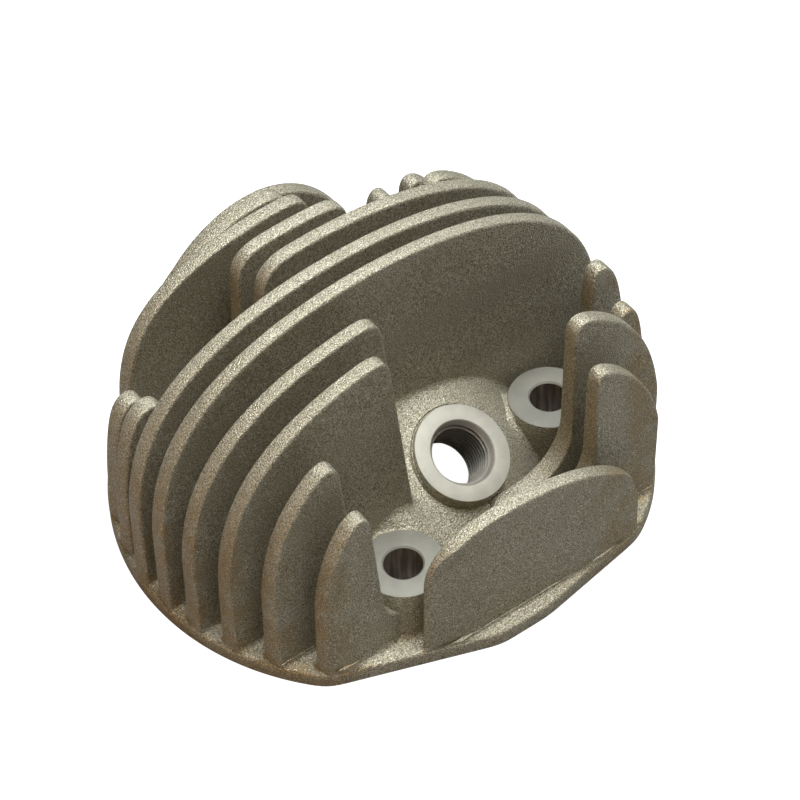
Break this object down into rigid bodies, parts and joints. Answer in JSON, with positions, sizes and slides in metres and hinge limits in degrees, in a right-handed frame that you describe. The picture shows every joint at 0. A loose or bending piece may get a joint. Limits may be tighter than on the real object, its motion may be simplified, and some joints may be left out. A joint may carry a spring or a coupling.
{
  "type": "cylinder head",
  "caption": "Air-cooled two-stroke cylinder head: upright cooling fins over a domed chamber roof, four stud bosses, a leaning plug hole.",
  "frame": {"origin": "centre of the four stud holes, on the gasket face", "axes": "+Z away from the cylinder along the cylinder axis; the cooling fins run along X; the leaning plug hole is on the -Y side"},
  "size_m": [0.1199, 0.1142, 0.0714],
  "materials": {
    "cast_aluminium": "shot blasted sand casting, matt with a fine sparkling grain",
    "machined_aluminium": "turned and spot faced, satin"
  },
  "bodies": {
    "root": {"base_flange": "cast_aluminium", "combustion_dome": "cast_aluminium", "plug_boss": "machined_aluminium", "stud_boss_front_left": "machined_aluminium", "stud_boss_front_right": "machined_aluminium", "stud_boss_rear_left": "machined_aluminium", "stud_boss_rear_right": "machined_aluminium", "fin_01_front": "cast_aluminium", "fin_02_left": "cast_aluminium", "fin_02_right": "cast_aluminium", "fin_03_left": "cast_aluminium", "fin_03_right": "cast_aluminium", "fin_04_left": "cast_aluminium", "fin_04_right": "cast_aluminium", "fin_05_left": "cast_aluminium", "fin_05_right": "cast_aluminium", "fin_06": "cast_aluminium", "fin_07": "cast_aluminium", "fin_08_left": "cast_aluminium", "fin_08_main": "cast_aluminium", "fin_09_left": "cast_aluminium", "fin_09_middle": "cast_aluminium", "fin_09_right": "cast_aluminium", "fin_10_main": "cast_aluminium", "fin_10_right": "cast_aluminium", "fin_11_main": "cast_aluminium", "fin_11_right": "cast_aluminium", "fin_12_rear": "cast_aluminium"}
  },
  "joints": []
}
